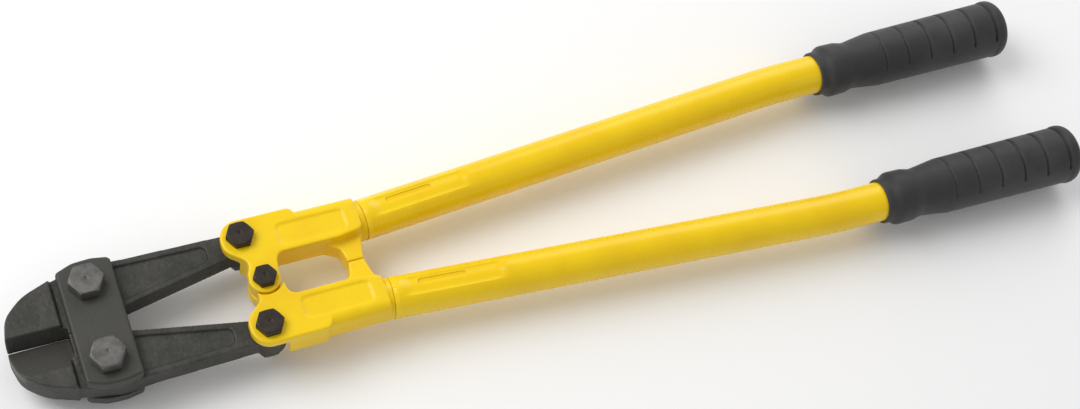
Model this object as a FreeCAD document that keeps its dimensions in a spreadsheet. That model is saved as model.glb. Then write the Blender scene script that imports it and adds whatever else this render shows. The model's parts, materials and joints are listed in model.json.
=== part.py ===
"""Bolt cutters, 600 mm class, as a parametric assembly. Millimetres.

Design frame: X runs from the jaws back to the grips, Y across the handles, Z up through the
flat faces, with zero on the centre pivot at mid-thickness. Pieces of the upper handle lie at
plus Y and those of the lower handle at minus Y. The last step moves every piece together, so
that the finished tool lies on Z zero with the origin under the middle of its bounding box.
"""
import FreeCAD, Part
import math
import os
import re
import Sketcher
from FreeCAD import Placement, Rotation, Vector

SIZES = [
    # The linkage: three pivots on each side of the tool's centre line.
    ("ear_ahead", 5.3, "jaw pivots, ahead of the centre pivot"),
    ("ear_out", 25.9, "jaw pivots, out from the centre line"),
    ("bolt_ahead", 84.9, "plate bolts, ahead of the centre pivot"),
    ("bolt_out", 20.7, "plate bolts, out from the centre line"),
    # Fits and gaps.
    ("running_fit", 0.05, "radial clearance of a joint that turns"),
    ("fixed_fit", 0.1, "radial clearance of a fastener that does not turn"),
    ("side_gap", 0.15, "gap beside a flat face that slides"),
    ("free_gap", 1.0, "gap round a piece that swings in a slot"),
    ("linkage_play", 2.0, "extra radius of the upper jaw's tail hole"),
    ("socket_fit", 0.05, "radial clearance of tube on spigot and of grip on tube"),
    ("edge_gap", 0.1, "gap between the closed cutting edges"),
    # Jaws.
    ("jaw_thick", 11.7, "jaw at its hub, arm and tail"),
    ("blade_thick", 15.0, "jaw ahead of the side plates"),
    ("blade_step", 101.5, "step from blade to hub, ahead of the centre pivot"),
    ("tip_ahead", 129.2, "jaw tips, ahead of the centre pivot"),
    ("edge_land", 0.8, "flat on the cutting edge"),
    ("tip_corner", 4.0, "height of the blunt corner at the tip"),
    ("steep_bevel", 4.6, "depth of the steep bevel into the blade"),
    ("wide_bevel", 17.5, "depth of the wide bevel into the blade"),
    ("blade_out", 30.7, "back of the blade at the step"),
    ("hub_out", 34.4, "back of the jaw beside its plate bolt"),
    ("arm_root_ahead", 66.0, "place where the arm starts"),
    ("arm_root_out", 33.0, "back of the arm at its start"),
    ("arm_end_out", 31.8, "back of the arm at its tail"),
    ("arm_root_in", 7.7, "front of the arm at its start"),
    ("arm_end_in", 19.3, "front of the arm at its tail"),
    ("arm_end_ahead", 9.0, "place where the arm meets its tail"),
    ("tail_radius", 9.2, "round tail of the jaw"),
    ("rib_width", 3.2, "raised ribs along the arm"),
    ("web_depth", 1.3, "recess between the ribs, on each face"),
    # Side plates.
    ("plate_thick", 6.0, "jaw side plate"),
    ("plate_front", 98.2, "front edge, ahead of the centre pivot"),
    ("plate_back", 70.2, "back edge, ahead of the centre pivot"),
    ("plate_corner_out", 31.0, "front corners, out from the centre line"),
    ("plate_crown_out", 34.5, "crown of the rounded ends"),
    ("plate_heel_out", 33.2, "back corners, out from the centre line"),
    ("plate_chamfer", 0.9, "chamfer on the outer edges"),
    # Handle heads.
    ("ear_plate", 5.5, "ear, in front of the jaw's tail"),
    ("head_thick", 16.7, "handle head"),
    ("lap_level", 3.0, "height of the lap between the two heads"),
    ("ear_radius", 10.0, "round ear in front of the jaw's tail"),
    ("lug_radius", 8.2, "round lug at the centre pivot"),
    ("head_back", 60.0, "shoulder where the tube starts, behind the centre pivot"),
    ("head_shoulder", 24.0, "step from ear block to arm, behind the centre pivot"),
    ("ear_block_out", 35.9, "outer side of the ear block"),
    ("arm_block_out", 34.4, "outer side of the head's arm"),
    ("window_out", 12.2, "inner side of the head's arm"),
    ("window_start", 10.0, "front end of the window"),
    ("stop_front", 44.5, "front of the stop"),
    ("stop_back", 53.0, "back of the stop"),
    ("stop_thick", 11.0, "stop where the two heads meet"),
    ("stop_gap", 0.3, "gap between the stops, handles closed"),
    ("boss_radius", 10.8, "round boss that the tube meets"),
    ("boss_length", 15.0, "round boss"),
    ("head_round", 5.5, "rounding along the outer side of the arm"),
    ("panel_depth", 0.8, "recessed panel in front"),
    ("panel_border", 3.4, "border round the panel"),
    # Handle tubes.
    ("tube_outer", 11.0, "outer radius"),
    ("tube_wall", 2.0, "wall"),
    ("tube_out", 23.9, "tube axis at the head, out from the centre line"),
    ("spread_angle", 4.5, "slope of the tube, degrees"),
    ("grip_angle", 0.7, "slope of the tube inside the grip, degrees"),
    ("tube_straight", 241.0, "straight run behind the head"),
    ("bend_radius", 330.0, "gentle bend ahead of the grip"),
    ("tube_tail", 138.0, "straight run behind the bend"),
    ("spigot_length", 42.0, "spigot of the head inside the tube"),
    ("crimp_start", 14.0, "start of the crimp, from the end of the tube"),
    ("crimp_length", 26.0, "crimp"),
    ("crimp_width", 3.6, "crimp"),
    ("crimp_depth", 0.9, "crimp"),
    ("crimp_offset", 1.8, "crimp, to one side of the tube's front line"),
    # Grips.
    ("grip_start", 18.0, "mouth of the grip, behind the bend"),
    ("grip_length", 126.0, "grip"),
    ("mouth_radius", 12.6, "mouth"),
    ("collar_radius", 15.0, "collar behind the mouth"),
    ("collar_length", 17.0, "mouth and collar"),
    ("neck_radius", 13.4, "neck behind the collar"),
    ("neck_place", 23.0, "narrowest point of the neck"),
    ("palm_place", 40.0, "place where the palm reaches its full size"),
    ("palm_radius", 15.7, "palm at its front"),
    ("heel_radius", 16.4, "palm at its back"),
    ("end_wall", 5.0, "closed end of the grip"),
    ("groove_first", 41.5, "first finger groove, from the mouth"),
    ("groove_pitch", 15.1, "finger grooves"),
    ("groove_width", 1.8, "finger grooves"),
    ("groove_depth", 0.9, "finger grooves"),
    ("groove_sweep", 125.0, "finger grooves, degrees round the grip"),
    # Fasteners.
    ("plate_bolt_radius", 5.0, "shank"),
    ("plate_bolt_flats", 16.0, "head and nut across flats"),
    ("plate_bolt_head", 6.8, "head height"),
    ("plate_nut_height", 6.0, "nut height"),
    ("ear_bolt_radius", 4.0, "shank"),
    ("ear_bolt_flats", 13.0, "head and nut across flats"),
    ("ear_bolt_head", 4.2, "head height"),
    ("ear_nut_height", 5.0, "nut height"),
    ("centre_bolt_radius", 3.5, "shank"),
    ("centre_bolt_flats", 11.0, "head and nut across flats"),
    ("centre_bolt_head", 3.8, "head height"),
    ("centre_nut_height", 4.5, "nut height"),
    ("washer_thick", 1.2, "washer under each nut"),
    ("washer_border", 1.0, "washer beyond the flats of its nut"),
    ("thread_end", 1.2, "bolt end beyond its nut"),
    ("head_dimple", 1.2, "dimple in each bolt head, radius"),
    ("brow_back", 12.5, "corner of the blade's back, behind the tip"),
    ("brow_drop", 5.6, "corner of the blade's back, inwards of its widest part"),
    ("brow_round", 26.0, "rounding of that corner"),
    ("nose_back", 2.4, "corner of the blade's nose, behind the tip"),
    ("nose_out", 15.6, "corner of the blade's nose, from the seam"),
    ("nose_round", 15.0, "rounding of the nose"),
    ("tip_round", 4.0, "rounding beside the cutting edge's end"),
    ("arm_root_round", 30.0, "easing of the arm into the hub"),
    ("arm_end_round", 12.0, "easing of the arm into its tail"),
    ("plate_corner", 2.5, "rounded corner of a side plate"),
    ("plate_crown_round", 14.0, "rounding of a side plate's crowned end"),
    ("panel_corner", 3.0, "rounded corner of the recessed panel"),
    ("dimple_depth", 0.8, "depth of the dimple in a bolt head"),
    ("bevel_share", 0.49, "bevel circle of a hex head, as a share of its flats"),
]

doc = FreeCAD.newDocument("BoltCutters")
sheet = doc.addObject("Spreadsheet::Sheet", "Sizes")
for row, (alias, value, meaning) in enumerate(SIZES, start=1):
    sheet.set("A%d" % row, alias)
    sheet.set("B%d" % row, str(value))
    sheet.set("C%d" % row, meaning)
    sheet.setAlias("B%d" % row, alias)
doc.recompute()

ALIASES = {alias for alias, value, meaning in SIZES}
FRONT = 1
REAR = -1
UPPER = 1
LOWER = -1
SIDE_NAMES = {UPPER: "upper", LOWER: "lower"}
GROOVES = 6
pieces = []

# Places that several pieces share, as formulas in the sheet's sizes.
JAW_SPACE = "(jaw_thick / 2 + side_gap)"
PLATE_OUTER = "(jaw_thick / 2 + side_gap + plate_thick)"
HEAD_FRONT = "(jaw_thick / 2 + side_gap + ear_plate)"
HEAD_REAR = "(jaw_thick / 2 + side_gap + ear_plate - head_thick)"
HEAD_MIDDLE = "(jaw_thick / 2 + side_gap + ear_plate - head_thick / 2)"
TUBE_BORE = "(tube_outer - tube_wall)"
BEND_ANGLE = "(spread_angle - grip_angle)"
GRIP_BORE = "(tube_outer + socket_fit)"


# ---------------------------------------------------------------- helpers
def bound(formula):
    """A formula in size names, as an expression that reads the sheet."""
    def named(match):
        word = match.group(0)
        return "Sizes." + word if word in ALIASES else word
    return re.sub(r"[a-z][a-z_]*", named, str(formula))


def number(formula):
    """The value of a formula in size names."""
    return float(sheet.evalExpression(bound(formula)))


def bind(feature, **formulas):
    """Binds properties of a feature to formulas in size names."""
    for prop, formula in formulas.items():
        feature.setExpression(prop, bound(formula))


def bind_place(feature, x="0", y="0", z="0", prop="Placement"):
    """Binds the position of a feature."""
    for axis, formula in zip("xyz", (x, y, z)):
        feature.setExpression("%s.Base.%s" % (prop, axis), bound(formula))


def new_body(name):
    """A body that becomes a sub-part with the given name."""
    body = doc.addObject("PartDesign::Body", name)
    body.Label = name
    return body


def origin_plane(body, role):
    """One of a body's own origin planes or axes."""
    for feature in body.Origin.OriginFeatures:
        if feature.Role == role:
            return feature
    raise ValueError(role)


def new_sketch(body, name, role="XY_Plane", level="0"):
    """A sketch on one of the body's origin planes, lifted by a formula."""
    sketch = body.newObject("Sketcher::SketchObject", name)
    sketch.AttachmentSupport = [(origin_plane(body, role), "")]
    sketch.MapMode = "FlatFace"
    sketch.setExpression("AttachmentOffset.Base.z", bound(level))
    return sketch


def place_point(sketch, geometry, position, x, y):
    """Dimensions a point of the sketch from the sketch's origin."""
    for kind, formula in (("DistanceX", x), ("DistanceY", y)):
        value = number(formula)
        index = sketch.addConstraint(Sketcher.Constraint(kind, -1, 1, geometry, position, value))
        sketch.setExpression("Constraints[%d]" % index, bound(formula))


def draw_circle(sketch, x, y, radius):
    """A circle with bound centre and radius."""
    circle = Part.Circle(Vector(number(x), number(y), 0), Vector(0, 0, 1), number(radius))
    index = sketch.addGeometry(circle, False)
    place_point(sketch, index, 3, x, y)
    limit = sketch.addConstraint(Sketcher.Constraint("Radius", index, number(radius)))
    sketch.setExpression("Constraints[%d]" % limit, bound(radius))


def draw_outline(sketch, corners):
    """A closed outline of straight sides. A corner is (x, y) or (x, y, radius), in formulas.

    A sharp corner is dimensioned itself. A round one keeps its sharp corner as a construction
    point on both sides, dimensions that, and joins the sides with a tangent arc.
    """
    count = len(corners)
    points = [Vector(number(corner[0]), number(corner[1]), 0) for corner in corners]
    radii = [number(corner[2]) if len(corner) > 2 else 0.0 for corner in corners]
    starts = []
    ends = []
    arcs = []
    for i in range(count):
        point = points[i]
        to_last = (points[i - 1] - point).normalize()
        to_next = (points[(i + 1) % count] - point).normalize()
        if not radii[i]:
            ends.append(point)
            starts.append(point)
            arcs.append(None)
            continue
        half = math.acos(max(-1.0, min(1.0, to_last.dot(to_next)))) / 2
        reach = radii[i] / math.tan(half)
        bisector = (to_last + to_next).normalize()
        centre = point + bisector * (radii[i] / math.sin(half))
        ends.append(point + to_last * reach)
        starts.append(point + to_next * reach)
        arcs.append(Part.Arc(ends[i], centre - bisector * radii[i], starts[i]))
    sides = []
    for i in range(count):
        line = Part.LineSegment(starts[i], ends[(i + 1) % count])
        sides.append(sketch.addGeometry(line, False))
    for i in range(count):
        before = sides[i - 1]
        after = sides[i]
        x, y = corners[i][0], corners[i][1]
        if arcs[i] is None:
            sketch.addConstraint(Sketcher.Constraint("Coincident", before, 2, after, 1))
            place_point(sketch, after, 1, x, y)
            continue
        arc = sketch.addGeometry(arcs[i], False)
        first = sketch.getPoint(arc, 1)
        if first.distanceToPoint(ends[i]) < 1e-4:
            near, far = 1, 2
        else:
            near, far = 2, 1
        sketch.addConstraint(Sketcher.Constraint("Tangent", before, 2, arc, near))
        sketch.addConstraint(Sketcher.Constraint("Tangent", after, 1, arc, far))
        limit = sketch.addConstraint(Sketcher.Constraint("Radius", arc, radii[i]))
        sketch.setExpression("Constraints[%d]" % limit, bound(corners[i][2]))
        sharp = sketch.addGeometry(Part.Point(points[i]), True)
        sketch.addConstraint(Sketcher.Constraint("PointOnObject", sharp, 1, before))
        sketch.addConstraint(Sketcher.Constraint("PointOnObject", sharp, 1, after))
        place_point(sketch, sharp, 1, x, y)


def pad_middle(body, sketch, thick):
    """Pads a sketch equally to both sides of its plane."""
    pad = body.newObject("PartDesign::Pad", sketch.Name + "_pad")
    pad.Profile = sketch
    pad.SideType = "Symmetric"
    bind(pad, Length=thick)
    return pad


def pocket(body, sketch, depth, upward=False, middle=False):
    """Cuts a sketch into the body, down from its plane, up, or to both sides."""
    cut = body.newObject("PartDesign::Pocket", sketch.Name + "_cut")
    cut.Profile = sketch
    if middle:
        cut.SideType = "Symmetric"
    cut.Reversed = upward
    bind(cut, Length=depth)
    before = cut.BaseFeature.Shape.Volume
    doc.recompute()
    if not cut.Shape.Volume < before - 1e-3:
        raise RuntimeError("nothing was cut by " + cut.Name)
    return cut


def edges_where(shape, wanted):
    """The names of a shape's edges that satisfy a test."""
    return ["Edge%d" % i for i, edge in enumerate(shape.Edges, start=1) if wanted(edge)]


def flat_at(edge, level):
    """Whether an edge lies in the horizontal plane at a height."""
    box = edge.BoundBox
    return abs(box.ZMin - level) < 1e-4 and abs(box.ZMax - level) < 1e-4


def middle_of(edge):
    """The point half way along an edge."""
    return edge.valueAt((edge.FirstParameter + edge.LastParameter) / 2)


def dress(body, kind, name, size, wanted):
    """Rounds or chamfers the edges of the body's tip that satisfy a test."""
    doc.recompute()
    base = body.Tip
    names = edges_where(base.Shape, wanted)
    if not names:
        raise RuntimeError("no edges for " + name)
    feature = body.newObject("PartDesign::" + kind, name)
    feature.Base = (base, names)
    bind(feature, **{"Radius" if kind == "Fillet" else "Size": size})
    doc.recompute()
    return feature


def finish(piece):
    """Keeps an object as a sub-part."""
    doc.recompute()
    pieces.append(piece)
    return piece


# ---------------------------------------------------------------- jaws
def make_jaw(side):
    """A forged jaw: blade, hub, ribbed arm and round tail. The lower one is the upper, flipped."""
    s = "%d * " % side
    name = SIDE_NAMES[side] + "_jaw"
    body = new_body(name)
    nose = [
        ("-tip_ahead + brow_back", s + "(blade_out - brow_drop)", "brow_round"),
        ("-tip_ahead + nose_back", s + "nose_out", "nose_round"),
        ("-tip_ahead", s + "tip_corner", "tip_round"),
    ]
    blank = new_sketch(body, name + "_blank")
    draw_outline(blank, [
        ("-tip_ahead", s + "edge_gap / 2"),
        ("-plate_front", s + "edge_gap / 2"),
        ("-arm_root_ahead", s + "arm_root_in", "arm_root_round"),
        ("-arm_end_ahead", s + "arm_end_in", "arm_end_round"),
        ("-ear_ahead", s + "(ear_out - tail_radius / 2)"),
        ("-ear_ahead", s + "(ear_out + tail_radius / 2)"),
        ("-arm_end_ahead - 3", s + "arm_end_out", "8"),
        ("-arm_root_ahead", s + "arm_root_out", "2 * arm_root_round"),
        ("-bolt_ahead + 4", s + "hub_out", "16"),
        ("-blade_step + 4", s + "(blade_out + 0.6)", "arm_root_round"),
    ] + nose)
    pad_middle(body, blank, "jaw_thick")
    doc.recompute()
    tail = new_sketch(body, name + "_tail")
    draw_circle(tail, "-ear_ahead", s + "ear_out", "tail_radius")
    pad_middle(body, tail, "jaw_thick")
    blade = new_sketch(body, name + "_blade")
    draw_outline(blade, [
        ("-tip_ahead", s + "edge_gap / 2"),
        ("-blade_step", s + "edge_gap / 2"),
        ("-blade_step", s + "blade_out"),
    ] + nose)
    pad_middle(body, blade, "blade_thick")
    doc.recompute()
    for face, bevel in ((FRONT, "steep_bevel"), (REAR, "wide_bevel")):
        # The lower jaw shows its wide bevel in front, as the upper one shows it behind.
        z = "%d * " % (face * side)
        cut_sketch = new_sketch(body, name + "_" + bevel, "YZ_Plane", "-tip_ahead - 1")
        draw_outline(cut_sketch, [
            (s + "(edge_gap / 2 - 1)", z + "edge_land / 2"),
            (s + "edge_gap / 2", z + "edge_land / 2"),
            (s + "(edge_gap / 2 + %s)" % bevel, z + "(blade_thick / 2 + 0.01)"),
            (s + "(edge_gap / 2 - 1)", z + "(blade_thick / 2 + 0.01)"),
        ])
        pocket(body, cut_sketch, "tip_ahead - plate_front", upward=True)
    for face in (FRONT, REAR):
        web = new_sketch(body, name + "_web", "XY_Plane", "%d * (jaw_thick / 2)" % face)
        draw_outline(web, [
            ("-plate_back - 2", s + "(arm_root_in + rib_width - 0.6)", "2"),
            ("-arm_root_ahead", s + "(arm_root_in + rib_width)", "arm_root_round"),
            ("-arm_end_ahead - 14", s + "(arm_end_in + rib_width - 2.6)", "3"),
            ("-arm_end_ahead - 14", s + "(arm_end_out - rib_width)", "3"),
            ("-plate_back - 2", s + "(arm_root_out - rib_width)", "2"),
        ])
        pocket(body, web, "web_depth", upward=(face == REAR))
    holes = new_sketch(body, name + "_holes")
    draw_circle(holes, "-bolt_ahead", s + "bolt_out", "plate_bolt_radius + running_fit")
    play = "+ linkage_play" if side == UPPER else ""
    draw_circle(holes, "-ear_ahead", s + "ear_out", "ear_bolt_radius + running_fit " + play)
    pocket(body, holes, "jaw_thick + 4", middle=True)
    return finish(body)


# ---------------------------------------------------------------- side plates
def make_plate(face, name):
    """A flat side plate with crowned ends, bored for the two plate bolts."""
    body = new_body(name)
    level = "%d * (%s + plate_thick / 2)" % (face, JAW_SPACE)
    sketch = new_sketch(body, name + "_outline", "XY_Plane", level)
    half = [
        ("-plate_front", "plate_corner_out", "plate_corner"),
        ("-plate_front + 9", "plate_crown_out", "plate_crown_round"),
        ("-plate_back - 9", "plate_crown_out + 0.4", "plate_crown_round"),
        ("-plate_back", "plate_heel_out", "plate_corner"),
    ]
    mirrored = [(x, "-(%s)" % y, r) for x, y, r in reversed(half)]
    draw_outline(sketch, half + mirrored)
    draw_circle(sketch, "-bolt_ahead", "bolt_out", "plate_bolt_radius + fixed_fit")
    draw_circle(sketch, "-bolt_ahead", "-bolt_out", "plate_bolt_radius + fixed_fit")
    pad_middle(body, sketch, "plate_thick")
    outer = face * number(PLATE_OUTER)
    bolt = Vector(-number("bolt_ahead"), number("bolt_out"), outer)

    def on_rim(edge):
        middle = middle_of(edge)
        clear = math.hypot(middle.x - bolt.x, abs(middle.y) - bolt.y)
        return flat_at(edge, outer) and clear > number("plate_bolt_radius") + 2
    dress(body, "Chamfer", name + "_chamfer", "plate_chamfer", on_rim)
    return finish(body)


# ---------------------------------------------------------------- handle heads
def add_handle_cylinder(body, name, side, start, length, radius):
    """Adds a cylinder on the tube's axis. It starts at a distance behind the tube's end."""
    s = "%d * " % side
    rod = body.newObject("PartDesign::AdditiveCylinder", name)
    rod.AttachmentSupport = [(origin_plane(body, "XY_Plane"), "")]
    rod.MapMode = "FlatFace"
    slope = Rotation(Vector(0, 0, 1), side * number("spread_angle"))
    rod.AttachmentOffset = Placement(Vector(), slope * Rotation(Vector(0, 1, 0), 90))
    x = "head_back + (%s) * cos(spread_angle)" % start
    y = s + "(tube_out + (%s) * sin(spread_angle))" % start
    bind_place(rod, x, y, "0", "AttachmentOffset")
    bind(rod, Radius=radius, Height=length)
    doc.recompute()
    return rod


def add_head_blank(body, name, side):
    """The plan shape of a head: ear, neck, centre lug, arm and stop."""
    s = "%d * " % side
    outline = new_sketch(body, name + "_outline", "XY_Plane", HEAD_MIDDLE)
    draw_outline(outline, [
        ("-ear_ahead - ear_radius", s + "(ear_out + ear_radius)", "ear_radius"),
        ("-ear_ahead - ear_radius", s + "(ear_out - ear_radius * 0.6)", "8"),
        ("-4.6", s + "10.4", "5"),
        ("-lug_radius", s + "3.5", "3"),
        ("-lug_radius * 0.5", s + "-2"),
        ("lug_radius * 0.6", s + "-2"),
        ("lug_radius", s + "3", "2"),
        ("window_start", s + "window_out", "4.5"),
        ("stop_front - 1", s + "window_out", "6"),
        ("stop_back + 1", s + "(window_out + 1.6)", "3"),
        ("head_back - 3", s + "(tube_out - 9)", "3"),
        ("head_back - 3", s + "(arm_block_out - head_round - 1)"),
        ("head_shoulder + 3", s + "(arm_block_out - head_round - 1)", "4"),
        ("head_shoulder", s + "ear_block_out", "4"),
    ])
    pad_middle(body, outline, "head_thick")
    lug = new_sketch(body, name + "_lug", "XY_Plane", HEAD_MIDDLE)
    draw_circle(lug, "0", "0", "lug_radius")
    pad_middle(body, lug, "head_thick")
    stop = new_sketch(body, name + "_stop")
    draw_outline(stop, [
        ("stop_front", s + "stop_gap / 2"),
        ("stop_back", s + "stop_gap / 2"),
        ("stop_back + 1.5", s + "(window_out - 4)", "5"),
        ("head_back - 3", s + "(window_out + 3)"),
        ("stop_front - 9", s + "(window_out + 3)"),
        ("stop_front - 9", s + "(window_out + 0.5)"),
        ("stop_front - 1.5", s + "(window_out - 4)", "5"),
    ])
    pad_middle(body, stop, "stop_thick")
    doc.recompute()


def add_arm_side(body, name, side):
    """The outer side of the head's arm, rounded in front and behind."""
    s = "%d * " % side
    inner = s + "(arm_block_out - head_round - 1.5)"
    section = new_sketch(body, name + "_section", "YZ_Plane", "head_shoulder - 2")
    draw_outline(section, [
        (inner, HEAD_REAR),
        (s + "arm_block_out", HEAD_REAR, "head_round / 2"),
        (s + "arm_block_out", HEAD_FRONT, "head_round"),
        (inner, HEAD_FRONT),
    ])
    pad = body.newObject("PartDesign::Pad", name + "_side")
    pad.Profile = section
    bind(pad, Length="head_back - 3 - (head_shoulder - 2)")
    doc.recompute()


def make_head(side):
    """A cast head: ear, lapped centre lug, arm with a stop, boss and the tube's spigot."""
    s = "%d * " % side
    name = SIDE_NAMES[side] + "_handle_head"
    body = new_body(name)
    add_head_blank(body, name, side)
    add_arm_side(body, name, side)
    add_handle_cylinder(body, name + "_boss", side, "-boss_length", "boss_length", "boss_radius")
    add_handle_cylinder(body, name + "_spigot", side, "-4", "spigot_length + 4", TUBE_BORE + " - socket_fit")
    slot = new_sketch(body, name + "_slot", "XY_Plane", JAW_SPACE)
    draw_circle(slot, "-ear_ahead", s + "ear_out", "tail_radius + free_gap + linkage_play")
    pocket(body, slot, "head_thick")
    front = side == LOWER
    gap = "0" if front else "side_gap"
    lap = new_sketch(body, name + "_lap", "XY_Plane", "lap_level + " + gap)
    draw_circle(lap, "0", "0", "lug_radius + free_gap")
    pocket(body, lap, "head_thick", upward=front)
    panel = new_sketch(body, name + "_panel", "XY_Plane", HEAD_FRONT + " - panel_depth")
    draw_outline(panel, [
        ("window_start + panel_border", s + "(window_out + panel_border)", "panel_corner"),
        ("stop_back - panel_border", s + "(window_out + panel_border)", "panel_corner"),
        ("stop_back - panel_border", s + "(arm_block_out - head_round - 1)", "panel_corner"),
        ("window_start + panel_border", s + "(arm_block_out - head_round - 1)", "panel_corner"),
    ])
    pocket(body, panel, "panel_depth + 1", upward=True)
    holes = new_sketch(body, name + "_holes")
    draw_circle(holes, "-ear_ahead", s + "ear_out", "ear_bolt_radius + fixed_fit")
    fit = "fixed_fit" if side == UPPER else "running_fit"
    draw_circle(holes, "0", "0", "centre_bolt_radius + " + fit)
    pocket(body, holes, "2 * head_thick", middle=True)
    return finish(body)


# ---------------------------------------------------------------- tubes and grips
def make_tube(side):
    """A round steel tube: straight, one gentle bend, straight into the grip."""
    name = SIDE_NAMES[side] + "_tube"
    body = new_body(name)
    flip = side * -1
    turn = "%d * " % flip
    path = new_sketch(body, name + "_path")
    run = number("tube_straight")
    tail = number("tube_tail")
    radius = number("bend_radius")
    angle = math.radians(number(BEND_ANGLE))
    bend_end = Vector(run + radius * math.sin(angle), flip * radius * (1 - math.cos(angle)), 0)
    half = Vector(run + radius * math.sin(angle / 2), flip * radius * (1 - math.cos(angle / 2)), 0)
    last = bend_end + Vector(math.cos(angle), flip * math.sin(angle), 0) * tail
    bend_start = Vector(run, 0, 0)
    first_line = path.addGeometry(Part.LineSegment(Vector(0, 0, 0), bend_start), False)
    bend = path.addGeometry(Part.Arc(bend_start, half, bend_end), False)
    last_line = path.addGeometry(Part.LineSegment(bend_end, last), False)
    if path.getPoint(bend, 1).distanceToPoint(bend_start) < 1e-4:
        near, far = 1, 2
    else:
        near, far = 2, 1
    path.addConstraint(Sketcher.Constraint("Coincident", first_line, 1, -1, 1))
    path.addConstraint(Sketcher.Constraint("Horizontal", first_line))
    path.addConstraint(Sketcher.Constraint("Tangent", first_line, 2, bend, near))
    path.addConstraint(Sketcher.Constraint("Tangent", last_line, 1, bend, far))
    for kind, geometry, value, formula in (
        ("Distance", first_line, run, "tube_straight"),
        ("Distance", last_line, tail, "tube_tail"),
        ("Radius", bend, radius, "bend_radius"),
    ):
        index = path.addConstraint(Sketcher.Constraint(kind, geometry, value))
        path.setExpression("Constraints[%d]" % index, bound(formula))
    index = path.addConstraint(Sketcher.Constraint("Angle", first_line, 1, last_line, 1, flip * angle))
    path.setExpression("Constraints[%d]" % index, bound(turn + BEND_ANGLE + " * 1deg"))
    ring = new_sketch(body, name + "_ring", "YZ_Plane")
    draw_circle(ring, "0", "0", "tube_outer")
    draw_circle(ring, "0", "0", TUBE_BORE)
    doc.recompute()
    sweep = body.newObject("PartDesign::AdditivePipe", name + "_sweep")
    sweep.Profile = ring
    sweep.Spine = path
    doc.recompute()
    crimp = new_sketch(body, name + "_crimp", "XY_Plane", "tube_outer - crimp_depth")
    draw_outline(crimp, [
        ("crimp_start", "crimp_offset - crimp_width / 2", "crimp_width * bevel_share"),
        ("crimp_start + crimp_length", "crimp_offset - crimp_width / 2", "crimp_width * bevel_share"),
        ("crimp_start + crimp_length", "crimp_offset + crimp_width / 2", "crimp_width * bevel_share"),
        ("crimp_start", "crimp_offset + crimp_width / 2", "crimp_width * bevel_share"),
    ])
    pocket(body, crimp, "crimp_depth + 2", upward=True)
    return body


def place_on_handle(piece, side, along, bent):
    """Sets a piece whose own X axis is the tube's axis, at a distance along the tube."""
    s = "%d * " % side
    slope = "grip_angle" if bent else "spread_angle"
    if bent:
        run = "(tube_straight + bend_radius * tan(%s / 2))" % BEND_ANGLE
        past = "(bend_radius * tan(%s / 2) + %s)" % (BEND_ANGLE, along)
        x = "head_back + %s * cos(spread_angle) + %s * cos(grip_angle)" % (run, past)
        y = s + "(tube_out + %s * sin(spread_angle) + %s * sin(grip_angle))" % (run, past)
    else:
        x = "head_back + (%s) * cos(spread_angle)" % along
        y = s + "(tube_out + (%s) * sin(spread_angle))" % along
    piece.Placement = Placement(Vector(), Rotation(Vector(0, 0, side), number(slope)))
    bind_place(piece, x, y)
    piece.setExpression("Placement.Rotation.Angle", bound(slope))


def make_grip(side):
    """A moulded rubber grip, closed at its end, with finger grooves."""
    name = SIDE_NAMES[side] + "_grip"
    body = new_body(name)
    profile = new_sketch(body, name + "_profile")
    draw_outline(profile, [
        ("0", GRIP_BORE),
        ("0", "mouth_radius", "0.8"),
        ("4.5", "mouth_radius", "3"),
        ("8", "collar_radius", "3"),
        ("collar_length", "collar_radius - 0.2", "3"),
        ("neck_place", "neck_radius", "8"),
        ("palm_place", "palm_radius", "20"),
        ("grip_length - 7", "heel_radius"),
        ("grip_length - 7", "heel_radius + 0.5", "0.3"),
        ("grip_length", "heel_radius + 0.5", "5"),
        ("grip_length", "0"),
        ("grip_length - end_wall", "0"),
        ("grip_length - end_wall", GRIP_BORE),
    ])
    doc.recompute()
    turned = body.newObject("PartDesign::Revolution", name + "_turned")
    turned.Profile = profile
    turned.ReferenceAxis = (origin_plane(body, "X_Axis"), [""])
    turned.Angle = 360
    doc.recompute()
    ring = new_sketch(body, name + "_ring", "XZ_Plane")
    for face in (FRONT, REAR):
        z = "%d * " % face
        draw_outline(ring, [
            ("groove_first - groove_width / 2", z + "(palm_radius - groove_depth)"),
            ("groove_first + groove_width / 2", z + "(palm_radius - groove_depth)"),
            ("groove_first + groove_width / 2", z + "(heel_radius + 1)"),
            ("groove_first - groove_width / 2", z + "(heel_radius + 1)"),
        ])
    doc.recompute()
    groove = body.newObject("PartDesign::Groove", name + "_groove")
    groove.Profile = ring
    groove.ReferenceAxis = (origin_plane(body, "X_Axis"), [""])
    groove.Midplane = True
    bind(groove, Angle="groove_sweep")
    doc.recompute()
    row = body.newObject("PartDesign::LinearPattern", name + "_grooves")
    row.Originals = [groove]
    row.Direction = (origin_plane(body, "X_Axis"), [""])
    bind(row, Length="groove_pitch * (%d - 1)" % GROOVES)
    row.Occurrences = GROOVES
    body.Tip = row
    doc.recompute()
    return body


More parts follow.
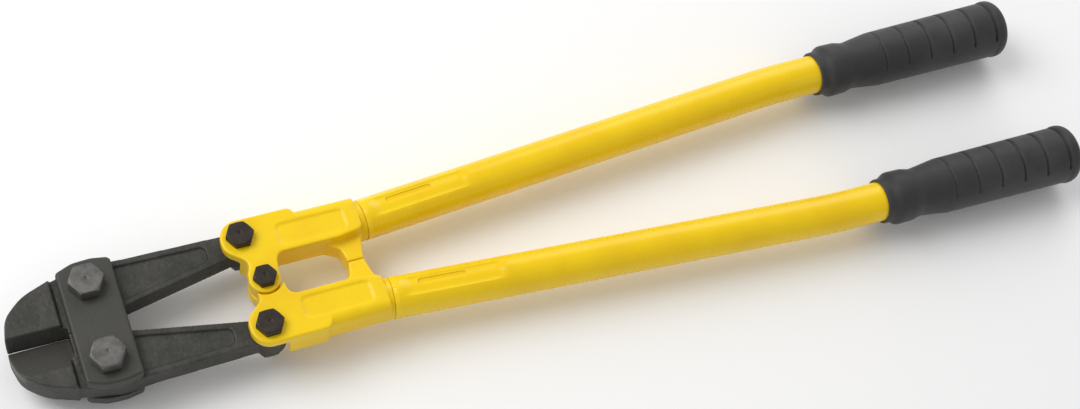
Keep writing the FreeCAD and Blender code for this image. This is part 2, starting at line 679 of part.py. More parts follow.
# ---------------------------------------------------------------- fasteners
def make_bolt(name, x, y, radius, flats, head, top, under, nut):
    """A hex bolt along Z: chamfered head on the front, shank through to the nut's far side."""
    prism = doc.addObject("Part::Prism", name + "_hex")
    prism.Polygon = 6
    bind(prism, Circumradius="%s / sqrt(3)" % flats, Height=head)
    bind_place(prism, x, y, top)
    cone = doc.addObject("Part::Cone", name + "_bevel")
    inner = flats + " * bevel_share"
    bind(cone, Radius1="%s + %s * sqrt(3)" % (inner, head), Radius2=inner, Height=head)
    bind_place(cone, x, y, top)
    cap = doc.addObject("Part::Common", name + "_head")
    cap.Base = prism
    cap.Tool = cone
    dimple = doc.addObject("Part::Cone", name + "_dimple")
    bind(dimple, Radius1="head_dimple / 8", Radius2="head_dimple", Height="dimple_depth")
    bind_place(dimple, x, y, "%s + %s - dimple_depth" % (top, head))
    marked = doc.addObject("Part::Cut", name + "_marked")
    marked.Base = cap
    marked.Tool = dimple
    shank = doc.addObject("Part::Cylinder", name + "_shank")
    bind(shank, Radius=radius, Height="%s + %s + washer_thick + %s + thread_end" % (top, under, nut))
    bind_place(shank, x, y, "-(%s + washer_thick + %s + thread_end)" % (under, nut))
    bolt = doc.addObject("Part::Fuse", name)
    bolt.Base = marked
    bolt.Tool = shank
    return bolt


def make_nut(name, x, y, radius, flats, under, nut):
    """A hex nut behind its washer, chamfered on its outer side."""
    low = "-(%s + washer_thick + %s)" % (under, nut)
    prism = doc.addObject("Part::Prism", name + "_hex")
    prism.Polygon = 6
    bind(prism, Circumradius="%s / sqrt(3)" % flats, Height=nut)
    bind_place(prism, x, y, low)
    cone = doc.addObject("Part::Cone", name + "_bevel")
    inner = flats + " * bevel_share"
    bind(cone, Radius1=inner, Radius2="%s + %s * sqrt(3)" % (inner, nut), Height=nut)
    bind_place(cone, x, y, low)
    cap = doc.addObject("Part::Common", name + "_blank")
    cap.Base = prism
    cap.Tool = cone
    bore = doc.addObject("Part::Cylinder", name + "_bore")
    bind(bore, Radius=radius + " + socket_fit", Height=nut + " + 2")
    bind_place(bore, x, y, low + " - 1")
    hex_nut = doc.addObject("Part::Cut", name)
    hex_nut.Base = cap
    hex_nut.Tool = bore
    return hex_nut


def make_washer(name, x, y, radius, flats, under):
    """A plain washer under a nut."""
    disc = doc.addObject("Part::Cylinder", name + "_disc")
    bind(disc, Radius=flats + " / 2 + washer_border", Height="washer_thick")
    bind_place(disc, x, y, "-(%s + washer_thick)" % under)
    bore = doc.addObject("Part::Cylinder", name + "_bore")
    bind(bore, Radius=radius + " + fixed_fit", Height="washer_thick + 2")
    bind_place(bore, x, y, "-(%s + washer_thick + 1)" % under)
    ring = doc.addObject("Part::Cut", name)
    ring.Base = disc
    ring.Tool = bore
    return ring


def keep_group(label, members):
    """Keeps several separate solids as one sub-part."""
    if len(members) == 1:
        members[0].Label = label
        return finish(members[0])
    group = doc.addObject("Part::Compound", label + "_group")
    group.Label = label
    group.Links = members
    return finish(group)


def make_fasteners():
    """Bolts, washers and nuts of all five pivots."""
    ear = ("ear_bolt_radius", "ear_bolt_flats", "ear_bolt_head", HEAD_FRONT, JAW_SPACE, "ear_nut_height")
    pivots = (
        ("plate", [("-bolt_ahead", "bolt_out"), ("-bolt_ahead", "-bolt_out")],
         "plate_bolt_radius", "plate_bolt_flats", "plate_bolt_head",
         PLATE_OUTER, PLATE_OUTER, "plate_nut_height"),
        ("centre", [("0", "0")],
         "centre_bolt_radius", "centre_bolt_flats", "centre_bolt_head",
         HEAD_FRONT, "(side_gap - %s)" % HEAD_REAR, "centre_nut_height"),
        ("upper_ear", [("-ear_ahead", "ear_out")]) + ear,
        ("lower_ear", [("-ear_ahead", "-ear_out")]) + ear,
    )
    for pivot, places, radius, flats, head, top, under, nut in pivots:
        many = len(places) > 1
        bolts = []
        washers = []
        nuts = []
        for i, (x, y) in enumerate(places):
            tag = "%s_%d" % (pivot, i)
            bolts.append(make_bolt(tag + "_b", x, y, radius, flats, head, top, under, nut))
            washers.append(make_washer(tag + "_w", x, y, radius, flats, under))
            nuts.append(make_nut(tag + "_n", x, y, radius, flats, under, nut))
        keep_group(pivot + ("_bolts" if many else "_bolt"), bolts)
        keep_group(pivot + ("_washers" if many else "_washer"), washers)
        keep_group(pivot + ("_nuts" if many else "_nut"), nuts)


def stand_on_origin():
    """Moves every piece so that the origin is under the middle of the whole tool."""
    whole = FreeCAD.BoundBox()
    for piece in pieces:
        whole.add(piece.Shape.BoundBox)
    shift = Vector(-whole.Center.x, -whole.Center.y, -whole.ZMin)
    for piece in pieces:
        placed = dict(piece.ExpressionEngine)
        for axis, amount in zip("xyz", shift):
            path = "Placement.Base." + axis
            own = placed.get(path, placed.get("." + path, "0"))
            piece.setExpression(path, "%s + %r" % (own, amount))
    return shift


# ---------------------------------------------------------------- the whole tool
for which in (UPPER, LOWER):
    make_jaw(which)
make_plate(FRONT, "front_jaw_plate")
make_plate(REAR, "rear_jaw_plate")
for which in (UPPER, LOWER):
    make_head(which)
for which in (UPPER, LOWER):
    tube = make_tube(which)
    place_on_handle(tube, which, "0", False)
    finish(tube)
for which in (UPPER, LOWER):
    grip = make_grip(which)
    place_on_handle(grip, which, "grip_start", True)
    finish(grip)
make_fasteners()
shift = stand_on_origin()
doc.recompute()

for thing in doc.Objects:
    if "Invalid" in thing.State or "Error" in thing.State:
        raise RuntimeError("%s is %s" % (thing.Name, thing.State))
for piece in pieces:
    if piece.Shape.isNull() or not piece.Shape.isValid():
        raise RuntimeError("bad shape: " + piece.Label)

os.makedirs("parts", exist_ok=True)
for piece in pieces:
    piece.Shape.exportStep("parts/%s.step" % piece.Label)
    print(piece.Label, len(piece.Shape.Solids), round(piece.Shape.Volume, 1))
print("centre pivot at", [round(value, 3) for value in shift])
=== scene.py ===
"""Bolt cutters: forged jaws, side plates, yellow castings and tubes, rubber grips and a pale stage."""

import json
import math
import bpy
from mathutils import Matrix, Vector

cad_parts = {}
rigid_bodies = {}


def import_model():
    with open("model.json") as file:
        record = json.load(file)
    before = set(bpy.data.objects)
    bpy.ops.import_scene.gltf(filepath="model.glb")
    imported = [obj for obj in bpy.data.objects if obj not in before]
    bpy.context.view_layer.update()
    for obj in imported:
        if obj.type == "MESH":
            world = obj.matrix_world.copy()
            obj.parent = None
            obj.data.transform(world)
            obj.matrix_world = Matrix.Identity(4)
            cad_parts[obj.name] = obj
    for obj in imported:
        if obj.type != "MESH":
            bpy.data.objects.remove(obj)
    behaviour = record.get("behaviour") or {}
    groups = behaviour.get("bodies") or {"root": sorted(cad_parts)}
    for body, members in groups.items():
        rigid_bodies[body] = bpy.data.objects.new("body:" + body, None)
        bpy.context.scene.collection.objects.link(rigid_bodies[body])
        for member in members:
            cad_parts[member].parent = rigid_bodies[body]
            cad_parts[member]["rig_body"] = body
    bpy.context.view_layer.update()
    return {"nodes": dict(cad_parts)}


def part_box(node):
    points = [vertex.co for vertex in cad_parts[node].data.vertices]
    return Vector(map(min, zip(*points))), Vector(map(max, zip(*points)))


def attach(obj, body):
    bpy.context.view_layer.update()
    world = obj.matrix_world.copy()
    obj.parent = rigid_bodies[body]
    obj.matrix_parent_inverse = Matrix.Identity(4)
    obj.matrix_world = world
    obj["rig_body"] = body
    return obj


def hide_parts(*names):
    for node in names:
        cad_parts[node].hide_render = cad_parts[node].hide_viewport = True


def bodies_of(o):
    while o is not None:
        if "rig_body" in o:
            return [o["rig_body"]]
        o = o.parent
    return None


bl_info = {
    "name": "Bolt Cutters",
    "version": (1, 0, 0),
    "blender": (4, 5, 0),
    "location": "View3D > Sidebar > Cutters",
    "description": "Finishes the pieces of a pair of bolt cutters",
    "category": "Object",
}

import bmesh
import bpy
from bpy.props import FloatProperty, FloatVectorProperty, PointerProperty
from mathutils import Euler, Vector

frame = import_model()
NODES = frame["nodes"]
SIDES = {"upper": 1, "lower": -1}

JOIN_DISTANCE = 1e-6
CUT_TOLERANCE = 1e-7
SMOOTH_SHARE = 0.5
SHARP_ANGLE = math.radians(40)
MOUTH_LENGTH = 0.004
FRONT_OF_TUBE = 0.004
CRIMP_ROW = 0.001
CRIMP_COLUMNS = 11
CRIMP_END_SHARE = 9.0
FLOOR_DROP = 0.0002
KEY_PLACE = (-0.95, 0.60, 1.35)
KEY_WIDTH = 1.1
RIM_PLACE = (0.75, 0.95, 0.80)
RIM_WIDTH = 0.9
SENSOR_WIDTH = 36.0


# ---------------------------------------------------------------- sizes and colours
def length(name, description, default):
    """A length property, in metres."""
    return FloatProperty(name=name, description=description, default=default, unit="LENGTH", precision=5)


def colour(name, description, default):
    """A colour property, in linear light."""
    return FloatVectorProperty(
        name=name, description=description, default=default, subtype="COLOR", min=0.0, max=1.0
    )


class CutterSizes(bpy.types.PropertyGroup):
    """Sizes of the detail on the pieces."""

    forging_grain: length("Forging grain", "Mesh size of the forged and cast pieces", 0.0005)
    plate_grain: length("Plate grain", "Mesh size of the side plates", 0.00045)
    grip_grain: length("Grip grain", "Mesh size of the rubber grips", 0.0006)
    fastener_grain: length("Fastener grain", "Mesh size of the bolts", 0.0003)
    steep_bevel: length("Steep bevel", "Depth of the narrow ground bevel", 0.0046)
    wide_bevel: length("Wide bevel", "Depth of the wide ground bevel", 0.0175)
    tube_slope: FloatProperty(
        name="Tube slope", description="Slope of the tube's front run",
        default=math.radians(4.5), subtype="ANGLE",
    )
    crimp_start: length("Crimp start", "Start of the crimp, from the tube's front end", 0.004)
    crimp_length: length("Crimp length", "Length of the crimp along the tube", 0.058)
    crimp_width: length("Crimp width", "Width of the crimp round the tube", 0.0105)
    crimp_depth: length("Crimp depth", "Depth of the crimp at its middle", 0.0013)
    bolt_head: length("Bolt head", "Height of the small bolts' heads, with a little of the shank", 0.0048)
    shank_share: FloatProperty(
        name="Shank share", default=0.975,
        description="Radius of a turning shank, as a share of the drawn one",
    )
    floor_width: length("Floor width", "Width of the floor", 8.0)
    lens: FloatProperty(name="Lens", description="Focal length, mm", default=61.81, min=1.0)
    camera_place: FloatVectorProperty(
        name="Camera place", description="Where the camera stands", subtype="TRANSLATION",
        default=(-0.32656, -0.41237, 0.86665), precision=5,
    )
    camera_turn: FloatVectorProperty(
        name="Camera turn", description="The camera's angles", subtype="EULER",
        default=tuple(math.radians(a) for a in (30.4656, -9.3467, -21.3541)), precision=5,
    )


class CutterColours(bpy.types.PropertyGroup):
    """Colours of the finishes and strengths of the lights."""

    paint: colour("Paint", "Yellow enamel", (0.93, 0.63, 0.001))
    # Deeper yellow: random thicker patches of enamel, and painted shade in the hollows.
    paint_deep_and_shade: colour("Deep paint and shade", "Deeper yellow enamel, also painted as shade in hollows", (0.78, 0.44, 0.0005))
    # Painted highlight: a paler yellow laid on outward edges, where light catches them.
    painted_edge_highlight: colour("Edge highlight", "Yellow painted on an edge as a highlight", (1.0, 0.76, 0.03))
    forging: colour("Forging", "Dark skin of the forged jaws", (0.030, 0.030, 0.026))
    forging_pale: colour("Pale forging", "Paler patches of the forged skin", (0.062, 0.060, 0.052))
    bare_steel: colour("Bare steel", "Steel that shows on a rubbed edge", (0.21, 0.205, 0.19))
    plate: colour("Plate", "Dark skin of the side plates", (0.050, 0.050, 0.045))
    plate_bolt: colour("Plate bolt", "Grey skin of the two large bolts", (0.085, 0.083, 0.078))
    black_bolt: colour("Black bolt", "Black skin of the small bolts", (0.024, 0.017, 0.013))
    rubber: colour("Rubber", "Charcoal grip rubber", (0.022, 0.021, 0.023))
    # Paler rubber: random patches, and a painted sheen on the grip ribs.
    rubber_pale_and_sheen: colour("Pale rubber and sheen", "Paler rubber, random patches and a painted sheen on the ribs", (0.070, 0.068, 0.071))
    floor: colour("Floor", "Pale floor", (0.95, 0.95, 0.95))
    sky: FloatProperty(name="Sky", description="Strength of the light all round", default=0.52, min=0.0)
    key: FloatProperty(name="Key", description="Power of the main light", default=17.0, min=0.0)
    rim: FloatProperty(name="Rim", description="Power of the light from behind", default=5.0, min=0.0)


def sizes():
    """The sizes in use."""
    return bpy.context.scene.cutter_sizes


def colours():
    """The colours in use."""
    return bpy.context.scene.cutter_colours


# ---------------------------------------------------------------- shader maths
class Shade:
    """An output of a finish's nodes. Python's arithmetic on it adds Math nodes."""

    def __init__(self, finish, socket):
        self.finish = finish
        self.socket = socket

    def maths(self, operation, *values):
        """A Math node on these values."""
        return self.finish.node("ShaderNodeMath", {"operation": operation}, dict(enumerate(values)))

    def __add__(self, other):
        return self.maths("ADD", self, other)

    __radd__ = __add__

    def __mul__(self, other):
        return self.maths("MULTIPLY", self, other)

    __rmul__ = __mul__

    def __sub__(self, other):
        return self.maths("SUBTRACT", self, other)

    def __rsub__(self, other):
        return self.maths("SUBTRACT", other, self)

    def size(self):
        """Its value without its sign."""
        return self.maths("ABSOLUTE", self)

    def over(self, low, high):
        """Rises smoothly from 0 at low to 1 at high."""
        inputs = {"Value": self, "From Min": low, "From Max": high}
        return self.finish.node("ShaderNodeMapRange", {"interpolation_type": "SMOOTHSTEP"}, inputs)


class Finish:
    """One material, with its nodes."""

    def __init__(self, name):
        self.material = bpy.data.materials.new(name)
        self.material.use_nodes = True
        self.tree = self.material.node_tree
        self.tree.nodes.clear()
        self.place = self.node("ShaderNodeTexCoord", out="Object")

    def node(self, kind, settings=None, inputs=None, out=0):
        """Adds a node, sets it, and gives its inputs their values or links."""
        made = self.tree.nodes.new(kind)
        for name, value in (settings or {}).items():
            setattr(made, name, value)
        for key, value in (inputs or {}).items():
            if isinstance(value, Shade):
                self.tree.links.new(value.socket, made.inputs[key])
            elif isinstance(made.inputs[key].default_value, float):
                made.inputs[key].default_value = float(value)
            else:
                given = tuple(value)
                full = len(made.inputs[key].default_value)
                made.inputs[key].default_value = given + (1.0,) * (full - len(given))
        return Shade(self, made.outputs[out])

    def blend(self, share, first, second):
        """The first colour turning into the second."""
        settings = {"data_type": "RGBA", "clamp_factor": True}
        return self.node("ShaderNodeMix", settings, {0: share, 6: first, 7: second}, out=2)

    def axis(self, name):
        """One coordinate of a place on the piece, in metres."""
        return self.node("ShaderNodeSeparateXYZ", inputs={0: self.place}, out=name)

    def noise(self, scale, detail=3.0, rough=0.55, stretch=(1.0, 1.0, 1.0)):
        """Cloudy noise from 0 to 1."""
        where = self.node("ShaderNodeMapping", inputs={"Vector": self.place, "Scale": stretch})
        inputs = {"Vector": where, "Scale": scale, "Detail": detail, "Roughness": rough}
        return self.node("ShaderNodeTexNoise", inputs=inputs, out="Fac")

    def pits(self, scale):
        """Small round hollows."""
        inputs = {"Vector": self.place, "Scale": scale, "Randomness": 1.0}
        return self.node("ShaderNodeTexVoronoi", inputs=inputs, out="Distance").over(0.05, 0.45)

    def edges(self, start, end):
        """1 on outward edges and 0 on flats."""
        return self.node("ShaderNodeNewGeometry", out="Pointiness").over(start, end)

    def hollows(self, start, end):
        """1 in inward corners and 0 on flats."""
        return 1.0 - self.node("ShaderNodeNewGeometry", out="Pointiness").over(start, end)

    def bumps(self, height, depth):
        """A normal from a height that runs from 0 to 1."""
        inputs = {"Height": height, "Distance": depth, "Strength": 1.0}
        return self.node("ShaderNodeBump", inputs=inputs)

    def done(self, **inputs):
        """Ends the finish in one surface shader and gives back the material."""
        named = {name.replace("_", " "): value for name, value in inputs.items()}
        surface = self.node("ShaderNodeBsdfPrincipled", inputs=named)
        end = self.tree.nodes.new("ShaderNodeOutputMaterial")
        self.tree.links.new(surface.socket, end.inputs["Surface"])
        return self.material


# ---------------------------------------------------------------- finishes
def enamel(name, cast):
    """Yellow enamel, with painted shade in its hollows and a painted highlight on its edges. Over a
    casting it follows the sand-cast skin beneath.
    """
    f = Finish(name)
    c = colours()
    cloud = f.noise(34.0, 4.0)
    skin = f.noise(520.0, 2.0)
    thick = f.blend(cloud.over(0.35, 0.75) * 0.35, c.paint, c.paint_deep_and_shade)
    # Painted shade: the hollows are darkened toward the deeper yellow.
    tone = f.blend(f.hollows(0.40, 0.495) * 0.55, thick, c.paint_deep_and_shade)
    # Painted highlight: outward edges turn toward the paler yellow.
    tone = f.blend(f.edges(0.515, 0.60) * 0.5, tone, c.painted_edge_highlight)
    if cast:
        lumps = f.noise(210.0, 3.0, 0.6)
        sand = f.noise(900.0, 2.0, 0.6)
        normal = f.bumps(lumps * 0.62 + sand * 0.22 + skin * 0.16, 0.00042)
        rough = 0.26 + sand * 0.14 + cloud * 0.06
    else:
        drawn = f.noise(160.0, 2.0, 0.5, (0.12, 1.0, 1.0))
        normal = f.bumps(skin * 0.3 + drawn * 0.7, 0.00004)
        rough = 0.20 + skin * 0.10 + cloud * 0.06
    return f.done(
        Base_Color=tone, Roughness=rough, Normal=normal,
        Specular_IOR_Level=0.3, Coat_Weight=0.12, Coat_Roughness=0.2,
    )


def forged_skin(name, side):
    """Dark forged steel with a mottled skin, rubbed edges, painted shade in its hollows, and a ground
    bevel by the cutting edge, painted in shade on the upper jaw and painted lit on the lower.
    """
    f = Finish(name)
    c = colours()
    s = sizes()
    cloud = f.noise(75.0, 5.0, 0.65)
    grain = f.noise(420.0, 4.0, 0.65)
    pit = f.pits(330.0)
    mottle = (cloud * 0.6 + grain * 0.4).over(0.34, 0.68)
    tone = f.blend(mottle, c.forging, c.forging_pale)
    rubbed = f.edges(0.52, 0.62) * (0.35 + grain * 0.6)
    tone = f.blend(rubbed, tone, c.bare_steel)
    # Painted shade: inward corners and recesses darkened toward near black.
    tone = f.blend(f.hollows(0.38, 0.48) * 0.6, tone, (0.018, 0.018, 0.016))
    bevel = s.wide_bevel if side < 0 else s.steep_bevel
    out = f.axis("Y").size()
    low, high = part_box("front_jaw_plate")
    ahead = 1.0 - f.axis("X").over(low.x - 0.003, low.x - 0.001)
    front = f.axis("Z").over((low.z + high.z) / 2 - 0.012, (low.z + high.z) / 2 - 0.008)
    ground = (1.0 - out.over(bevel - 0.0006, bevel + 0.0006)) * ahead * front
    lines = f.noise(260.0, 3.0, 0.6, (6.0, 0.35, 0.35))
    # Painted light and shade: the upper jaw's bevel, facing down, is painted dark as shade; the lower
    # jaw's, facing up, is painted pale as lit.
    painted_bevel_light_and_shade = (0.014, 0.014, 0.013) if side > 0 else (0.052, 0.051, 0.046)
    tone = f.blend(ground * 0.8, tone, f.blend(lines, painted_bevel_light_and_shade, c.forging_pale))
    height = cloud * 0.35 + grain * 0.4 + pit * 0.25
    height = height * (1.0 - ground * 0.75) + lines * ground * 0.18
    rough = 0.46 + grain * 0.16 - ground * 0.12 - rubbed * 0.1
    return f.done(
        Base_Color=tone, Roughness=rough, Metallic=0.35,
        Normal=f.bumps(height, 0.00050), Specular_IOR_Level=0.42,
    )


def plate_skin(name):
    """Dark pressed plate, smoother than the forgings, with a rubbed rim."""
    f = Finish(name)
    c = colours()
    cloud = f.noise(60.0, 4.0, 0.6)
    rolled = f.noise(190.0, 3.0, 0.6, (3.0, 0.5, 1.0))
    grain = f.noise(800.0, 3.0, 0.6)
    tone = f.blend(cloud.over(0.3, 0.7) * 0.6 + rolled * 0.25, c.plate, c.forging_pale)
    rubbed = f.edges(0.515, 0.59) * (0.55 + grain * 0.5)
    tone = f.blend(rubbed, tone, c.bare_steel)
    rough = 0.42 + grain * 0.14 + cloud * 0.06
    return f.done(
        Base_Color=tone, Roughness=rough, Metallic=0.4,
        Normal=f.bumps(cloud * 0.35 + rolled * 0.3 + grain * 0.35, 0.00022), Specular_IOR_Level=0.42,
    )


def bolt_skin(name, base, shine):
    """A bolt, nut or washer with a heat-blacked skin and rubbed corners."""
    f = Finish(name)
    c = colours()
    cloud = f.noise(190.0, 4.0, 0.6)
    grain = f.noise(1300.0, 3.0, 0.6)
    paler = tuple(part * 1.7 for part in base)
    tone = f.blend(cloud.over(0.3, 0.7), base, paler)
    rubbed = f.edges(0.52, 0.62) * (0.3 + cloud * 0.6) * shine
    tone = f.blend(rubbed, tone, c.bare_steel)
    return f.done(
        Base_Color=tone, Roughness=0.36 + grain * 0.2, Metallic=0.45,
        Normal=f.bumps(cloud * 0.5 + grain * 0.5, 0.00014), Specular_IOR_Level=0.45,
    )


def grip_rubber(name):
    """Charcoal moulded rubber with a fine grain, a painted sheen on its ribs and painted shade in its
    grooves.
    """
    f = Finish(name)
    c = colours()
    cloud = f.noise(48.0, 4.0, 0.6)
    grain = f.noise(1500.0, 2.0, 0.6)
    tone = f.blend(cloud.over(0.35, 0.75) * 0.35 + grain * 0.15, c.rubber, c.rubber_pale_and_sheen)
    # Painted sheen: the ribs turn toward the paler rubber.
    tone = f.blend(f.edges(0.51, 0.57) * 0.6, tone, c.rubber_pale_and_sheen)
    # Painted shade: the grooves darkened to near black.
    tone = f.blend(f.hollows(0.44, 0.495), tone, (0.004, 0.004, 0.004))
    return f.done(
        Base_Color=tone, Roughness=0.50 + grain * 0.14 + cloud * 0.06,
        Normal=f.bumps(grain * 0.7 + cloud * 0.3, 0.00013),
        Specular_IOR_Level=0.45, Sheen_Weight=0.12, Sheen_Roughness=0.4,
    )


def floor_paper(name):
    """Pale matt paper."""
    f = Finish(name)
    fibre = f.noise(300.0, 3.0)
    return f.done(Base_Color=colours().floor, Roughness=0.86 + fibre * 0.1, Normal=f.bumps(fibre, 0.00003))


# ---------------------------------------------------------------- shaping
def merged_copy(node):
    """A bmesh of a CAD node, with its loose triangles joined."""
    form = bmesh.new()
    form.from_mesh(NODES[node].data)
    bmesh.ops.remove_doubles(form, verts=form.verts, dist=JOIN_DISTANCE)
    return form


def stand(name, form, material, body):
    """Makes a finished piece from a bmesh and lets it ride on its body."""
    mesh = bpy.data.meshes.new(name)
    form.to_mesh(mesh)
    form.free()
    mesh.shade_smooth()
    piece = bpy.data.objects.new(name, mesh)
    bpy.context.scene.collection.objects.link(piece)
    mesh.materials.append(material)
    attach(piece, body)
    return piece


def softened(node, grain, passes):
    """A bmesh of a CAD node in an even mesh, its edges rounded as forging or moulding leaves them."""
    form = merged_copy(node)
    mesh = bpy.data.meshes.new(node + "_blank")
    form.to_mesh(mesh)
    form.free()
    blank = bpy.data.objects.new(node + "_blank", mesh)
    bpy.context.scene.collection.objects.link(blank)
    remesh = blank.modifiers.new("Even mesh", "REMESH")
    remesh.mode = "VOXEL"
    remesh.voxel_size = grain
    seen = blank.evaluated_get(bpy.context.evaluated_depsgraph_get())
    even = bpy.data.meshes.new_from_object(seen)
    form = bmesh.new()
    form.from_mesh(even)
    for turn in range(passes):
        bmesh.ops.smooth_vert(
            form, verts=form.verts, factor=SMOOTH_SHARE, use_axis_x=True, use_axis_y=True, use_axis_z=True
        )
    bpy.data.objects.remove(blank)
    bpy.data.meshes.remove(mesh)
    bpy.data.meshes.remove(even)
    return form


def body_of(node):
    """The body that a CAD node rides on."""
    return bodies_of(NODES[node])[0]


def remade(node, name, grain, passes, material):
    """Stands a softened piece in for a CAD node."""
    piece = stand(name, softened(node, grain, passes), material, body_of(node))
    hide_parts(node)
    return piece


def dress_node(node, material):
    """Gives a CAD node a better material."""
    piece = NODES[node]
    if not piece.material_slots:
        piece.data.materials.append(material)
    for place in piece.material_slots:
        place.material = material


# ---------------------------------------------------------------- operators
class CUTTERS_OT_jaws(bpy.types.Operator):
    """Forges the two jaws"""

    bl_idname = "cutters.jaws"
    bl_label = "Jaws"

    def execute(self, context):
        for side, sign in SIDES.items():
            # The upper jaw's copy of the finish has its bevel painted in shade, the lower jaw's painted
            # lit.
            skin = forged_skin("forged_steel_" + side, sign)
            remade(side + "_jaw", side + "_jaw_forging", sizes().forging_grain, 2, skin)
        return {"FINISHED"}


class CUTTERS_OT_side_plates(bpy.types.Operator):
    """Makes the two side plates that hold the jaws"""

    bl_idname = "cutters.side_plates"
    bl_label = "Side plates"

    def execute(self, context):
        skin = plate_skin("plate_steel")
        for face in ("front", "rear"):
            remade(face + "_jaw_plate", face + "_side_plate", sizes().plate_grain, 1, skin)
        return {"FINISHED"}


class CUTTERS_OT_heads(bpy.types.Operator):
    """Casts and paints the two handle heads"""

    bl_idname = "cutters.heads"
    bl_label = "Handle heads"

    def execute(self, context):
        paint = enamel("enamel_on_casting", True)
        for side in SIDES:
            node = side + "_handle_head"
            remade(node, side + "_head_casting", sizes().forging_grain, 4, paint)
        return {"FINISHED"}


class CUTTERS_OT_tubes(bpy.types.Operator):
    """Draws, crimps and paints the two handle tubes"""

    bl_idname = "cutters.tubes"
    bl_label = "Handle tubes"

    def execute(self, context):
        paint = enamel("enamel_on_tube", False)
        for side, sign in SIDES.items():
            form = self.crimped(side + "_tube", sign)
            piece = stand(side + "_tube_drawn", form, paint, body_of(side + "_tube"))
            piece.data.set_sharp_from_angle(angle=SHARP_ANGLE)
            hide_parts(side + "_tube")
        return {"FINISHED"}

    def crimped(self, node, sign):
        """The tube with a long shallow crimp pressed into its front, behind the casting."""
        s = sizes()
        form = merged_copy(node)
        first = min(v.co.x for v in form.verts)
        mouth = [v.co for v in form.verts if v.co.x < first + MOUTH_LENGTH]
        start = sum(mouth, Vector()) / len(mouth)
        along = Vector((math.cos(s.tube_slope), sign * math.sin(s.tube_slope), 0.0))
        across = Vector((-along.y, along.x, 0.0))
        rows = int(s.crimp_length / CRIMP_ROW) + 4
        for i in range(rows):
            spot = start + along * (s.crimp_start + s.crimp_length * (i - 1) / (rows - 3))
            self.cut(form, spot, along)
        for i in range(-CRIMP_COLUMNS, CRIMP_COLUMNS + 1):
            self.cut(form, start + across * (s.crimp_width * i / 20), across)
        for v in form.verts:
            off = v.co - start
            if off.z < FRONT_OF_TUBE:
                continue
            reach = (off.dot(along) - s.crimp_start) / s.crimp_length
            side_share = abs(off.dot(across)) / (s.crimp_width / 2)
            if 0.0 < reach < 1.0 and side_share < 1.0:
                ends = min(1.0, min(reach, 1.0 - reach) * CRIMP_END_SHARE)
                ends = ends * ends * (3.0 - 2.0 * ends)
                trough = 1.0 - side_share ** 4
                v.co.z -= s.crimp_depth * ends * trough
        return form

    def cut(self, form, spot, normal):
        """Adds edges wherever a plane crosses the mesh."""
        geometry = list(form.verts) + list(form.edges) + list(form.faces)
        bmesh.ops.bisect_plane(form, geom=geometry, dist=CUT_TOLERANCE, plane_co=spot, plane_no=normal)


class CUTTERS_OT_grips(bpy.types.Operator):
    """Moulds the two rubber grips"""

    bl_idname = "cutters.grips"
    bl_label = "Grips"

    def execute(self, context):
        rubber = grip_rubber("grip_rubber")
        for side in SIDES:
            remade(side + "_grip", side + "_grip_moulded", sizes().grip_grain, 2, rubber)
        return {"FINISHED"}


class CUTTERS_OT_plate_bolts(bpy.types.Operator):
    """Finishes the two large bolts through the side plates"""

    bl_idname = "cutters.plate_bolts"
    bl_label = "Plate bolts"

    def execute(self, context):
        grey = bolt_skin("plate_bolt_steel", tuple(colours().plate_bolt), 1.0)
        remade("plate_bolts", "plate_bolts_headed", sizes().fastener_grain, 2, grey)
        dress_node("plate_washers", grey)
        dress_node("plate_nuts", grey)
        return {"FINISHED"}


class CUTTERS_OT_pivot_bolts(bpy.types.Operator):
    """Finishes the centre bolt and the two ear bolts"""

    bl_idname = "cutters.pivot_bolts"
    bl_label = "Pivot bolts"

    def execute(self, context):
        black = bolt_skin("black_bolt_steel", tuple(colours().black_bolt), 0.25)
        for pivot in ("centre", "upper_ear", "lower_ear"):
            name = pivot + "_bolt_headed"
            form = softened(pivot + "_bolt", sizes().fastener_grain, 2)
            self.ease_shank(form)
            piece = stand(name, form, black, body_of(pivot + "_bolt"))
            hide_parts(pivot + "_bolt")
            dress_node(pivot + "_washer", black)
            dress_node(pivot + "_nut", black)
        return {"FINISHED"}

    def ease_shank(self, form):
        """Thins the shank a little all round, so that it turns freely in its bore."""
        low = Vector(min(v.co[i] for v in form.verts) for i in range(3))
        high = Vector(max(v.co[i] for v in form.verts) for i in range(3))
        axis = (low + high) / 2
        head = high.z - sizes().bolt_head
        for v in form.verts:
            if v.co.z >= head:
                continue
            v.co.xy = axis.xy + (v.co.xy - axis.xy) * sizes().shank_share


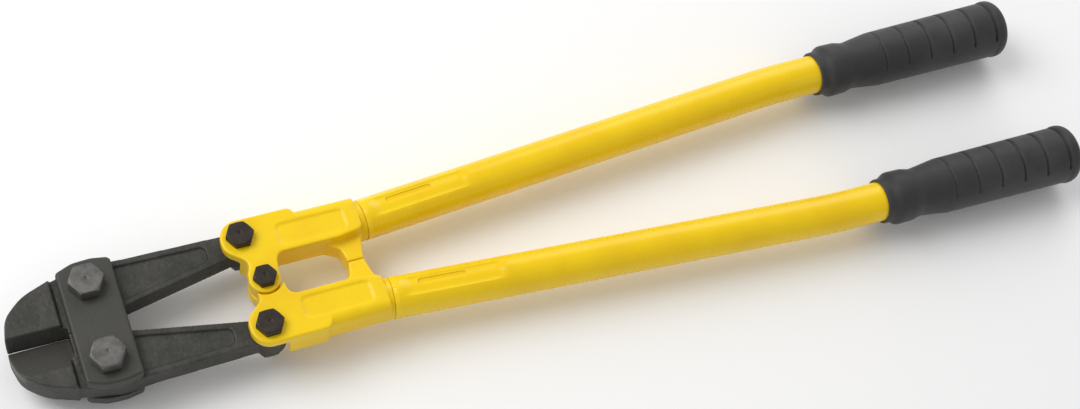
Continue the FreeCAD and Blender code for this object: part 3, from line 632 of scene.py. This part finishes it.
class CUTTERS_OT_stage(bpy.types.Operator):
    """Lays the floor and sets the lights and the camera"""

    bl_idname = "cutters.stage"
    bl_label = "Stage"

    def execute(self, context):
        s = sizes()
        c = colours()
        form = bmesh.new()
        bmesh.ops.create_grid(form, x_segments=1, y_segments=1, size=s.floor_width / 2)
        mesh = bpy.data.meshes.new("floor")
        form.to_mesh(mesh)
        form.free()
        mesh.materials.append(floor_paper("floor_paper"))
        floor = bpy.data.objects.new("floor", mesh)
        floor.location.z = -FLOOR_DROP
        context.scene.collection.objects.link(floor)
        self.light("key_light", KEY_PLACE, c.key, KEY_WIDTH)
        self.light("rim_light", RIM_PLACE, c.rim, RIM_WIDTH)
        self.sky(c.sky)
        camera = bpy.data.cameras.new("camera")
        camera.lens = s.lens
        camera.sensor_width = SENSOR_WIDTH
        eye = bpy.data.objects.new("camera", camera)
        eye.location = s.camera_place
        eye.rotation_euler = Euler(s.camera_turn)
        context.scene.collection.objects.link(eye)
        context.scene.camera = eye
        context.scene.view_settings.view_transform = "Standard"
        return {"FINISHED"}

    def light(self, name, place, power, width):
        """A square light that faces the tool."""
        lamp = bpy.data.lights.new(name, "AREA")
        lamp.energy = power
        lamp.size = width
        holder = bpy.data.objects.new(name, lamp)
        holder.location = place
        holder.rotation_euler = (-Vector(place)).to_track_quat("-Z", "Y").to_euler()
        bpy.context.scene.collection.objects.link(holder)

    def sky(self, strength):
        """Even white light all round."""
        world = bpy.data.worlds.new("studio")
        world.use_nodes = True
        glow = world.node_tree.nodes["Background"]
        glow.inputs["Color"].default_value = (1.0, 1.0, 1.0, 1.0)
        glow.inputs["Strength"].default_value = strength
        bpy.context.scene.world = world


STEPS = (
    CUTTERS_OT_stage,
    CUTTERS_OT_jaws,
    CUTTERS_OT_side_plates,
    CUTTERS_OT_heads,
    CUTTERS_OT_tubes,
    CUTTERS_OT_grips,
    CUTTERS_OT_plate_bolts,
    CUTTERS_OT_pivot_bolts,
)


class CUTTERS_PT_panel(bpy.types.Panel):
    """Lists the pieces of the bolt cutters"""

    bl_idname = "CUTTERS_PT_panel"
    bl_label = "Bolt cutters"
    bl_space_type = "VIEW_3D"
    bl_region_type = "UI"
    bl_category = "Cutters"

    def draw(self, context):
        for group in (context.scene.cutter_sizes, context.scene.cutter_colours):
            box = self.layout.box()
            for name in group.__annotations__:
                box.prop(group, name)
        for step in STEPS:
            self.layout.operator(step.bl_idname)


CLASSES = (CutterSizes, CutterColours, *STEPS, CUTTERS_PT_panel)


def register():
    """Adds the add-on's classes and settings."""
    for cls in CLASSES:
        bpy.utils.register_class(cls)
    bpy.types.Scene.cutter_sizes = PointerProperty(type=CutterSizes)
    bpy.types.Scene.cutter_colours = PointerProperty(type=CutterColours)


def unregister():
    """Takes them away again."""
    del bpy.types.Scene.cutter_sizes
    del bpy.types.Scene.cutter_colours
    for cls in reversed(CLASSES):
        bpy.utils.unregister_class(cls)


def main():
    """Makes every piece."""
    register()
    for step in STEPS:
        group, name = step.bl_idname.split(".")
        getattr(getattr(bpy.ops, group), name)()


if __name__ == "__main__":
    main()
